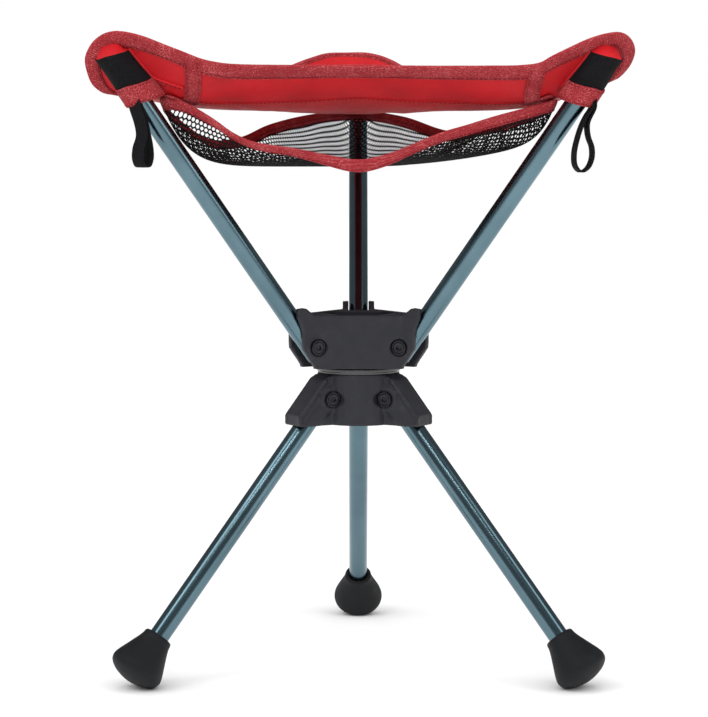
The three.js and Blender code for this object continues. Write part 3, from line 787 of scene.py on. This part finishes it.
def joined_grids(halves):
    """The grids as one mesh of points and faces, equal points made one; edge is the rim in order."""
    index, points, faces, rims = {}, [], [], []

    def number(p):
        key = tuple(round(float(value), 3) for value in p)
        if key not in index:
            index[key] = len(points)
            points.append([float(value) for value in p])
        return index[key]

    for grid, step in halves:
        ids = [[number(p) for p in row] for row in grid]
        for i in range(len(ids) - 1):
            for j in range(len(ids[0]) - 1):
                quad = [ids[i][j], ids[i + 1][j], ids[i + 1][j + 1], ids[i][j + 1]]
                quad = quad if step > 0 else quad[::-1]
                kept = [v for n, v in enumerate(quad) if v != quad[n - 1]]
                if len(kept) > 2:
                    faces.append(kept)
        rims.append(ids if step > 0 else ids[::-1])
    ordered = [line for lines in rims for line in lines[:-1]]
    return np.array(points), faces, ordered


def smoothed(points, faces, fixed, times):
    """Each point not fixed moved half way to the mean of its neighbours, several times."""
    pairs = {tuple(sorted((a, b))) for face in faces for a, b in zip(face, face[1:] + face[:1])}
    a, b = np.array(sorted(pairs)).T
    degree = np.zeros(len(points))
    np.add.at(degree, a, 1)
    np.add.at(degree, b, 1)
    free = np.ones(len(points), bool)
    free[list(fixed)] = False
    for _ in range(times):
        total = np.zeros_like(points)
        np.add.at(total, a, points[b])
        np.add.at(total, b, points[a])
        mean = total / degree[:, None]
        points = np.where(free[:, None], points + (mean - points) * 0.5, points)
    return points


sling_points, sling_faces, sling_lines = joined_grids(sling_halves())
rim_ids = [line[-1] for line in sling_lines]
sling_points = smoothed(sling_points, sling_faces, rim_ids, 14)


def point_normals(points, faces):
    """The normal at each point, on the side of the surface that faces up on the whole."""
    normals = np.zeros_like(points)
    for face in faces:
        p = points[face]
        sides = (p[2] - p[0], p[3] - p[1]) if len(face) > 3 else (p[1] - p[0], p[2] - p[0])
        normals[face] += np.cross(*sides)
    normals *= np.sign(normals[:, 2].sum())
    return normals / np.maximum(np.linalg.norm(normals, axis=1), 1e-9)[:, None]


def soft_folds(points, normals, seed, count, depth, fixed):
    """Long shallow folds, each a ridge along a random line, fading where the cloth is held."""
    draw = random.Random(seed)
    offset = np.zeros(len(points))
    for _ in range(count):
        middle = np.array([draw.uniform(-120, 120), draw.uniform(-90, 140), 0])
        angle = draw.uniform(0, math.pi)
        along = np.array([math.cos(angle), math.sin(angle), 0])
        across = np.array([-along[1], along[0], 0])
        width, length = draw.uniform(5, 14), draw.uniform(30, 80)
        a = (points - middle) @ across / width
        b = (points - middle) @ along / length
        offset += draw.uniform(-1, 1) * np.exp(-(a**2) - b**2)
    edge_room = np.min(np.linalg.norm(points[:, None, :] - points[fixed][None, ::12, :], axis=2), axis=1)
    offset *= depth * np.clip(edge_room / 30, 0, 1)
    return points + normals * offset[:, None]


sling_normals = point_normals(sling_points, sling_faces)
sling_points = soft_folds(sling_points, sling_normals, 7, 26, 0.9, rim_ids)
sling_normals = point_normals(sling_points, sling_faces)

sling = mesh_object("sling_cloth", sling_points, sling_faces)
sling_tree = BVHTree.FromPolygons([Vector(p) for p in sling_points], sling_faces)
shade_smooth(with_modifier(sling, "SOLIDIFY", thickness=FABRIC * MM, offset=0))


# ---------------------------------------------------------------- tapes, stitches and ribbons
STITCH_PITCH = 3.2
STITCH_LENGTH = 2.3
STITCH_R = 0.28
STITCH_SIDES = 6


def capsule(start, end, up):
    """A stitch: rings from one end to the other, lifted in the middle."""
    along = (end - start).normalized()
    side = along.cross(up).normalized()
    rings = []
    for t, r in ((0.0, 0.35), (0.15, 0.85), (0.5, 1.0), (0.85, 0.85), (1.0, 0.35)):
        middle = start.lerp(end, t) + up * STITCH_R * (4 * t * (1 - t) * 0.7)
        rings.append([
            middle + (side * math.cos(a) + up * math.sin(a) * 0.8) * STITCH_R * r
            for a in (2 * math.pi * k / STITCH_SIDES for k in range(STITCH_SIDES))
        ])
    return rings


def stitches(name, lines):
    """Stitches along lines, each a list of (point, up) pairs, all in one mesh."""
    points, faces = [], []
    for line in lines:
        places = np.array([p for p, _ in line], float)
        ups = np.array([u for _, u in line], float)
        along = arc_lengths(places)
        for start in np.arange(0.5, along[-1] - STITCH_LENGTH, STITCH_PITCH):
            first, last = at_length(places, along, [start, start + STITCH_LENGTH])
            up = Vector(at_length(ups, along, start + STITCH_LENGTH / 2)).normalized()
            rings = capsule(Vector(first), Vector(last), up)
            base, sides = len(points), len(rings[0])
            points += [p for ring in rings for p in ring]
            for i in range(len(rings) - 1):
                for k in range(sides):
                    a, b = base + i * sides + k, base + i * sides + (k + 1) % sides
                    faces.append([a, b, b + sides, a + sides])
            faces.append([base + k for k in reversed(range(sides))])
            faces.append([base + (len(rings) - 1) * sides + k for k in range(sides)])
    return mesh_object(name, points, faces)


def sew(name, lines, slot):
    """Stitches that ride on the seat."""
    fitted(stitches(name, lines), THREAD, "seat", slot)


def along_line(points, ids, distance):
    """The point at a distance in from the edge, on a grid line whose ids run out to the edge."""
    run = points[ids[::-1]]
    return at_length(run, arc_lengths(run), distance)


def tape_section(over, under, proud):
    """A binding's section, as (in from the edge, off the cloth's middle); over and under are its widths."""
    upper = [(over, 0.5), (over - 0.5, proud * 0.85), (over * 0.6, proud)]
    upper += [(over * 0.25, proud * 1.05), (0.6, proud)]
    fold = [(-0.5, proud * 0.65), (-0.9, 0), (-0.5, -proud * 0.65)]
    lower = [(0.6, -proud), (under * 0.25, -proud * 1.05), (under * 0.6, -proud)]
    lower += [(under - 0.5, -proud * 0.85), (under, -0.5)]
    return [*upper, *fold, *lower]


HUNG_WAY = Vector((0, 0.2, -0.98))
HUNG_NORMAL = Vector((0, 0.98, 0.2))


def bound_edge(name, points, normals, lines, widths, proud, lap, seed, hang=0.0):
    """A folded tape all round an edge and the stitches through it.

    widths are how far in the tape reaches on the surface's upper side and on its lower side. Its
    ends lap over each other for lap millimetres in the middle of the front. Within about hang
    millimetres of there the tape hangs down instead of following the surface, and is wider.
    """
    draw = random.Random(seed)
    over, under = widths
    sway = [draw.uniform(-1, 1) for _ in range(24)]
    rings, rows = [], {"upper": [], "lower": []}
    count = len(lines)
    edge = points[[line[-1] for line in lines]]
    for i, line in enumerate(lines):
        tangent = Vector(edge[(i + 1) % count] - edge[i - 1]).normalized()
        inward = Vector(along_line(points, line, 3.0) - points[line[-1]])
        normal = inward.cross(tangent)
        normal = (normal - tangent * normal.dot(tangent)).normalized()
        if normal.dot(Vector(normals[line[-1]])) < 0:
            normal = -normal
        outward = -(inward - tangent * inward.dot(tangent)).normalized()
        phase = i / count * 24
        before, after = sway[int(phase) % 24], sway[(int(phase) + 1) % 24]
        wide = 1 + 0.05 * (before * (1 - phase % 1) + after * (phase % 1))
        in_front = edge[i][1] < 0
        lapped = in_front and abs(edge[i][0]) < lap / 2
        hung = math.exp(-((edge[i][0] / hang) ** 2)) if hang and in_front else 0
        wide *= 1 + 0.1 * hung
        normal = normal.lerp(HUNG_NORMAL, hung).normalized()
        here = Vector(edge[i])

        def inside(distance):
            return Vector(along_line(points, line, distance)).lerp(here + HUNG_WAY * distance, hung)

        ring = []
        for a, b in tape_section(over, under, proud * 1.35 if lapped else proud):
            ring.append(inside(max(a, 0) * wide) + outward * max(-a, 0) + normal * b)
        rings.append(ring)
        for row, width, side in (("upper", over, 1), ("lower", under, -1)):
            rows[row].append((inside((width - 1.6) * wide) + normal * side * proud, normal * side))
    fitted(swept(name, rings, True), TAPE, "seat", "binding")
    sew(name + "_stitches", [row + row[:1] for row in rows.values()], "binding")


BINDING_WIDTHS = (4.0, 11.0)
BINDING_PROUD = 1.45
bound_edge(
    "sling_binding", sling_points, sling_normals, sling_lines, BINDING_WIDTHS, BINDING_PROUD, lap=30, seed=3
)
fitted(sling, RED_CLOTH, "seat", "red_fabric", "seat_sling")


# ---------------------------------------------------------------- corner pockets, mouth bindings and ribbons
MOUTH = 223.5  # along the arm, from the pivot pin
SEAM = 238.0
POCKET_TOP = 263.0
POCKET_END = 266.0
SLANT = 7.0  # how much nearer the pivot the near end of each line across the pocket is
POCKET_CLOTH = 0.8


def pocket_section(corner, along, proud):
    """The pocket's line over the arm, as (across, proud of the flap's plane), from far seam to near."""
    taper = 1 - (along - MOUTH) / (POCKET_END - MOUTH)
    far, near = (width * taper for width in corner.widths)
    line = [
        (-9.9 - far, 0.6), (-10.1 - far, 5), (-9.4 - far * 0.7, 10.5), (-7 - far * 0.4, 15.2),
        (-2.5, 17.8), (2.5, 18), (7 + near * 0.3, 16.2),
        (9.4 + near * 0.6, 11.5), (10.1 + near * 0.85, 6), (10.3 + near, 0.6),
    ]
    return curve_through([(a * corner.near, b + proud) for a, b in line], 37)


def pocket_sheet(corner, name, stations, uneven, material, slot, thickness, seed, nodes=()):
    """Cloth wrapped over the arm: stations are (along, how closed, proud) from its mouth outwards."""
    draw = random.Random(seed)
    phases = [draw.uniform(0, 2 * math.pi) for _ in range(4)]
    rows = []
    for along, closed, proud in stations:
        row = []
        section = pocket_section(corner, along, proud)
        centre = section.mean(axis=0)[0]
        for k, (across, out) in enumerate(section):
            u = k / (len(section) - 1)
            hold = math.sin(math.pi * u)
            wide = math.sin(9 * u + phases[0] + along * 0.22) * 0.5
            ripple = wide + math.sin(17 * u + phases[1] - along * 0.13) * 0.3
            out_here = out * (1 - closed) + 0.5 * closed + ripple * uneven * hold
            slant = SLANT * eased(max(u - 0.45, 0) / 0.55)
            across_here = across + (centre - across) * closed * 0.3
            row.append(corner.on_flap(along - slant, across_here, max(out_here, 0.5)))
        rows.append(row)
    points = [p for row in rows for p in row]
    sides = len(rows[0])
    faces = [
        [i * sides + k, i * sides + k + 1, (i + 1) * sides + k + 1, (i + 1) * sides + k]
        for i in range(len(rows) - 1)
        for k in range(sides - 1)
    ]
    made = mesh_object(name, points, faces)
    shade_smooth(with_modifier(made, "SOLIDIFY", thickness=thickness * MM, offset=0))
    fitted(made, material, "seat", slot, *nodes)
    return made, rows


def eased(t):
    return t * t * (3 - 2 * t)


def evenly(start, end, steps):
    return [start + (end - start) * step / steps for step in range(steps + 1)]


def corner_pocket(corner, seed):
    """The black pocket over an arm's tip, its red closed end, and the bound strip across its mouth."""
    panel_stations = [(along, 0, 0) for along in evenly(SEAM - 3, POCKET_TOP, 22)]
    panel, rows = pocket_sheet(
        corner, "pocket_" + corner.name, panel_stations, 0.35, BLACK_CLOTH, "black_fabric",
        POCKET_CLOTH, seed, ["corner_pocket_" + corner.name],
    )
    closing = [(POCKET_TOP - 2 + 4 * t, eased(max(t - 0.3, 0) / 0.7), -0.9) for t in evenly(0, 1, 12)]
    end, end_rows = pocket_sheet(
        corner, "pocket_end_" + corner.name, closing, 0.35, RED_CLOTH, "red_fabric", POCKET_CLOTH, seed
    )

    strip_stations = [(along, 0, 0.9) for along in evenly(MOUTH, SEAM, 10)]
    _, strip_rows = pocket_sheet(
        corner, "mouth_binding_fine_" + corner.name, strip_stations, 0.3, TAPE, "binding", 1.9, seed + 1,
        ["mouth_binding_" + corner.name],
    )
    out = corner.flap.to_3x3() @ Vector((1, 0, 0))
    seams = []
    for row in (strip_rows[1], strip_rows[-2]):
        middle = sum(row, Vector()) / len(row) - out * 4
        seams.append([(p + (p - middle).normalized() * 1.0, (p - middle).normalized()) for p in row])
    sew("mouth_stitches_" + corner.name, seams, "binding")
    return rows


def tangents(path):
    """The direction of an open path at each of its points."""
    ahead, back = [*path[1:], path[-1]], [path[0], *path[:-1]]
    return [(Vector(b) - Vector(a)).normalized() for a, b in zip(back, ahead)]


RIBBON_EDGE = 0.25  # how far in a ribbon's edges slope


def ribbon(name, path, ups, width, thickness, material, slot, nodes=()):
    """A flat strip along a path; ups are the directions that it faces at each point."""
    half, thick, edge = width / 2, thickness / 2, RIBBON_EDGE
    section = [
        (-half, 0), (-half + edge, thick), (0, thick * 1.15), (half - edge, thick),
        (half, 0), (half - edge, -thick), (0, -thick * 0.85), (-half + edge, -thick),
    ]
    rings = []
    for p, facing, tangent in zip(path, ups, tangents(path)):
        up = Vector(facing)
        up = (up - tangent * up.dot(tangent)).normalized()
        side = tangent.cross(up)
        rings.append([Vector(p) + side * a + up * b for a, b in section])
    made = swept(name, rings, False)
    return fitted(made, material, "seat", slot, *nodes)


def under_sling(point, off):
    """The nearest point of the sling's middle surface, off millimetres below it, and the way down there."""
    place, normal, _, _ = sling_tree.find_nearest(Vector(point))
    if normal.z > 0:
        normal = -normal
    return place + normal * off, normal


def laid_ribbon(name, points, count, width, thickness, material, slot, off):
    """A ribbon sewn to the sling's underside, through rough points, with stitches along both its edges."""
    path, downs = [], []
    for p in curve_through(points, count):
        place, down = under_sling(p, off)
        path.append(place)
        downs.append(down)
    nearby = [[downs[max(0, min(count - 1, i + d))] for d in range(-2, 3)] for i in range(count)]
    downs = [sum(some, Vector()).normalized() for some in nearby]
    ribbon(name, path, downs, width, thickness, material, slot)
    rows = []
    for side in (-1, 1):
        row = []
        for p, down, tangent in zip(path, downs, tangents(path)):
            across = tangent.cross(down).normalized()
            row.append((p + across * side * (width / 2 - 1.3) + down * thickness / 2, down))
        rows.append(row)
    sew(name + "_stitches", rows, slot)


# Where the piping along each pocket's near seam runs to.
PIPING_ENDS = {"front_left": (-121.4, -88, 423.4), "front_right": (142, -88, 421.6), "rear": (0, 138, 415)}
RIBBON_WIDTH = 11.0
RIBBON_OFF = 1.3
# Rough points of the ribbon round each corner, from the near edge, by the spine, to the far edge.
CREASES = {
    "front_left": [(-115, -102, 442), (-114, -94, 431), (-115, -86, 422), (-117, -78, 416)],
    "front_right": [(123, -101, 435), (121, -93, 427), (120, -86, 420), (121, -78, 415)],
    "rear": [(34, 150, 445), (16, 142, 424), (0, 138, 415), (-18, 142, 424), (-48, 152, 445)],
}
for number, corner in enumerate(CORNERS):
    pocket_rows = corner_pocket(corner, 40 + number)
    piping = [row[-1] for row in pocket_rows[::-4]] + [Vector(PIPING_ENDS[corner.name])]
    laid_ribbon("pocket_piping_" + corner.name, piping, 40, 3.4, 1.5, RED_CLOTH, "red_fabric", 1.1)
    crease = CREASES[corner.name]
    laid_ribbon("crease_ribbon_" + corner.name, crease, 60, RIBBON_WIDTH, 1.3, TAPE, "binding", RIBBON_OFF)

FRONT_SEAM = [
    (-118, -80, 412), (-80, -73, 412), (-40, -67, 411), (0, -64, 411), (40, -67, 411),
    (80, -73, 412), (118, -80, 412),
]
laid_ribbon("front_seam", FRONT_SEAM, 120, 2.4, 0.5, RED_CLOTH, "red_fabric", 0.65)

# ---------------------------------------------------------------- pull loops
WEBBING = 10.5
WEBBING_THICKNESS = 1.2


def pull_loop(corner, shape):
    """A folded strip of webbing, its ends sewn under the mouth binding; shape is where it hangs."""
    top = corner.on_flap(MOUTH + 1, corner.loop_across, 2 * FLAP_PLANE - 0.4)
    spread = Vector((math.cos(corner.loop_turn), math.sin(corner.loop_turn), 0))
    across = Vector((-spread.y, spread.x, 0))
    path = [top + spread * a + across * c + UP * z for a, c, z in curve_through(shape, 80)]
    ups = [tangent.cross(across) for tangent in tangents(path)]
    ribbon(
        "pull_loop_fine_" + corner.name, path, ups, WEBBING, WEBBING_THICKNESS, BLACK_CLOTH,
        "black_fabric", ["pull_loop_" + corner.name],
    )


# The loops' middle lines, as (along the spread, across it, up).
LEANING = [
    (-0.6, 0, 6), (-1.2, 0, 0), (-5, 0, -6), (-8, 0, -12), (-11.1, 0, -21), (-13.4, 0, -32),
    (-12.6, 0, -40.5), (-8.6, 0, -44.5), (-3.8, 0, -42), (-0.7, 0, -35.5), (-0.7, 0, -27.5),
    (-3.4, 0, -20), (-4, 0, -11), (0.8, 0, 0), (0.6, 0, 6),
]
STRAIGHT = [
    (1, 0, 6), (1.4, 0, -2), (2.4, 0, -10), (4.8, 0, -20), (6.4, 0, -29), (5.8, 0, -36.5),
    (2.4, 0, -41), (-2.4, 0, -41), (-5.8, 0, -36.5), (-6.4, 0, -29), (-4.8, 0, -20), (-2.4, 0, -10),
    (-1.4, 0, -2), (-1, 0, 6),
]
TWISTED = [
    (1, 0, 7), (1.2, -2, -2), (1.6, -6, -12), (2.6, -8, -22), (5, -8, -31), (5.2, -8, -38),
    (2.4, -8, -43), (-2.4, -8, -43), (-5.2, -8, -38), (-4.6, -8, -31), (-0.8, -8, -22),
    (-0.8, -6, -12), (-0.9, -2, -2), (-1, 0, 7),
]
LOOP_SHAPES = {"front_right": LEANING, "rear": STRAIGHT, "front_left": TWISTED}
for corner in CORNERS:
    pull_loop(corner, LOOP_SHAPES[corner.name])


# ---------------------------------------------------------------- the basket
BASKET_BOTTOM = 368.6
# How the wall rises from the bottom to the rim, from the middle of the front: (azimuth, power,
# share), where the share rises late, as that power of the distance, and the rest as its square.
BASKET_RISE = [
    (-90, 2.5, 1), (-70, 6, 0.5), (-50, 12, 0.55), (-32, 16, 0.6), (-18, 10, 0.5), (0, 4, 0.4),
    (30, 6, 0.9), (90, 8, 1), (150, 6, 1), (190, 7, 1), (210, 9, 1), (225, 6, 1), (240, 3.5, 1),
    (270, 2.5, 1),
]
NET_PITCH = 3.6
NET_HOLE = 1.52  # from a hole's middle to its corners
NET_THREAD = 0.5
NET_REACH = 175  # no hole lies further from the middle of the flat cut
NET_ROWS = int(170 / (NET_PITCH * math.sqrt(3) / 2))  # of holes, each side of the middle
NET_COLUMNS = 70  # of holes, each side of the middle
NET_MARGIN = 2.5  # from the last holes' middles to the rim
BASKET_BINDING = (6.0, 8.0)
BASKET_EDGE = [
    (0, -86, 373.3), (19.7, -87, 377), (38.4, -87.5, 384), (57, -87.5, 391.5), (76, -87, 397),
    (94.4, -86.5, 402.7), (113, -83, 407.7), (129, -82, 412), (138, -79, 414.5), (106, -18, 399),
    (70, 40, 394), (35, 100, 406), (0, 149, 412), (-35, 100, 408), (-67, 44, 399), (-88, 10, 389),
    (-110, -20, 388), (-138, -79, 415.5), (-124, -82, 413.5), (-103, -86, 402), (-88, -87, 391.5),
    (-74, -88, 385.3), (-46.7, -88, 381), (-25, -87.5, 377),
]
AROUND = 360
INWARD = 70


def basket_rays():
    """The basket's surface as rays from its middle to its rim: an array [ray, step, xyz]."""
    rim = curve_through(BASKET_EDGE, AROUND, closed=True)
    azimuths = np.degrees(np.arctan2(rim[:, 1], rim[:, 0]))
    turns, powers, shares = zip(*BASKET_RISE)
    from_front = (azimuths + 90) % 360 - 90
    power = np.interp(from_front, turns, powers)[:, None]
    late = np.interp(from_front, turns, shares)[:, None]
    t = np.linspace(0, 1, INWARD + 1)
    rays = np.zeros((AROUND, INWARD + 1, 3))
    rays[:, :, :2] = rim[:, None, :2] * t[None, :, None]
    rise = late * t[None, :] ** power + (1 - late) * t[None, :] ** 2
    rays[:, :, 2] = BASKET_BOTTOM + (rim[:, 2] - BASKET_BOTTOM)[:, None] * rise
    return rays


basket_rays_grid = basket_rays()
ray_angles = np.unwrap(np.arctan2(basket_rays_grid[:, -1, 1], basket_rays_grid[:, -1, 0]))
ray_lengths = np.stack([arc_lengths(ray) for ray in basket_rays_grid])


def on_basket(x, y):
    """The place on the surface of a point of the flat cut, and how far it is from the rim."""
    angle = (math.atan2(y, x) - ray_angles[0]) % (2 * math.pi)
    turns = ray_angles - ray_angles[0]
    k = int(np.searchsorted(turns, angle, side="right")) - 1
    after = (k + 1) % AROUND
    gap = (turns[after] - turns[k]) % (2 * math.pi)
    share = (angle - turns[k]) / gap
    reach = math.hypot(x, y)
    places = []
    for ray in (k, after):
        places.append(at_length(basket_rays_grid[ray], ray_lengths[ray], reach))
    rim = ray_lengths[k][-1] * (1 - share) + ray_lengths[after][-1] * share
    return Vector(places[0]).lerp(Vector(places[1]), share), rim - reach


def netting():
    """A sheet of hexagonal holes, cut where the rim's binding covers it."""
    points, faces, index = [], [], {}

    def number(x, y):
        key = (round(x * 50), round(y * 50))
        if key not in index:
            index[key] = len(points)
            points.append(on_basket(x, y)[0])
        return index[key]

    outer = NET_PITCH / math.sqrt(3)
    for row in range(-NET_ROWS, NET_ROWS + 1):
        for column in range(-NET_COLUMNS, NET_COLUMNS + 1):
            x = (column + (row % 2) / 2) * NET_PITCH
            y = row * NET_PITCH * math.sqrt(3) / 2
            if math.hypot(x, y) > NET_REACH or on_basket(x, y)[1] < NET_MARGIN:
                continue
            turns = [math.radians(60 * k + 30) for k in range(6)]
            ring = [number(x + outer * math.cos(a), y + outer * math.sin(a)) for a in turns]
            hole = []
            for a in turns:
                hole.append(len(points))
                points.append(on_basket(x + NET_HOLE * math.cos(a), y + NET_HOLE * math.sin(a))[0])
            for k in range(6):
                faces.append([ring[k], ring[(k + 1) % 6], hole[(k + 1) % 6], hole[k]])
    return points, faces


net_points, net_faces = netting()
net = mesh_object("basket_netting", net_points, net_faces)
shade_smooth(with_modifier(net, "SOLIDIFY", thickness=NET_THREAD * MM, offset=0))
fitted(net, NETTING, "seat", "netting", "mesh_basket")

basket_points = basket_rays_grid[:, ::2].reshape(-1, 3)
steps = INWARD // 2 + 1
basket_lines = [[k * steps + i for i in range(steps)] for k in range(AROUND)]
basket_faces = [
    [a, b, c, d]
    for line, after in zip(basket_lines, basket_lines[1:] + basket_lines[:1])
    for a, b, c, d in zip(line[1:], line[2:], after[2:], after[1:])
]
basket_normals = point_normals(basket_points, basket_faces)
bound_edge(
    "basket_binding", basket_points, basket_normals, basket_lines, BASKET_BINDING, 1.1,
    lap=26, seed=5, hang=55,
)


PATCH_WIDTH = 17
# The patches' line, as (outwards from the middle of the CAD tab, height).
PATCH_LINE = [(-20, 412), (-14, 413), (-8, 414.5), (2, 417.5)]


def corner_patch(corner):
    """The folded patch that hangs the basket's corner on the sling, just inside the arm."""
    tab = "basket_tab_" + corner.name
    tab_low, tab_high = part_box(tab)
    reach = Vector(((tab_low + tab_high) / 2 - AXIS) / MM)
    distance = math.hypot(reach.x, reach.y)
    side = UP.cross(corner.out)
    up = UP * 0.9 - corner.out * 0.3
    line = curve_through([(distance + out, z) for out, z in PATCH_LINE], 30)
    path = [corner.out * r + UP * z for r, z in line]
    ups = [up] * len(path)
    ribbon("basket_patch_" + corner.name, path, ups, PATCH_WIDTH, 1.6, TAPE, "binding", [tab])
    rows = [[(p + side * s * (PATCH_WIDTH * 0.4) - up * 0.8, -up) for p in path] for s in (-1, 1)]
    sew("basket_patch_stitches_" + corner.name, rows, "binding")


for corner in CORNERS:
    corner_patch(corner)
